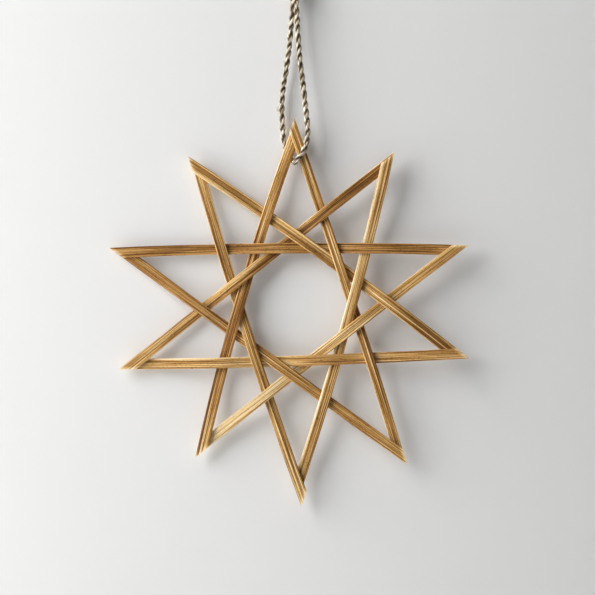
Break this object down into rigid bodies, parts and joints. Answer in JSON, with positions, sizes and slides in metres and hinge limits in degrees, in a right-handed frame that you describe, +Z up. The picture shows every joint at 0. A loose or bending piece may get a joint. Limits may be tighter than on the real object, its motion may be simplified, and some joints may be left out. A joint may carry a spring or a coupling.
{
  "type": "woven bamboo star",
  "caption": "Flat star ornament woven from split bamboo strips, hung from a nail or hook by a knotted loop of natural twine.",
  "frame": {"origin": "inside the top of the twine's eye, where a nail or hook holds the star", "axes": "+Z up, -Y out of the star's front, +X to the right of someone facing the front"},
  "size_m": [0.1425, 0.0081, 0.2238],
  "materials": {
    "bamboo": "satin, split and pared by hand",
    "twine": "matt, loosely twisted"
  },
  "bodies": {
    "root": {"bamboo_strip_01": "bamboo", "bamboo_strip_02": "bamboo", "bamboo_strip_03": "bamboo", "bamboo_strip_04": "bamboo", "bamboo_strip_05": "bamboo", "bamboo_strip_06": "bamboo", "bamboo_strip_07": "bamboo", "bamboo_strip_08": "bamboo", "bamboo_strip_09": "bamboo", "bamboo_strip_10": "bamboo", "twine_loop": "twine", "twine_knot": "twine", "twine_eye": "twine"}
  },
  "joints": []
}
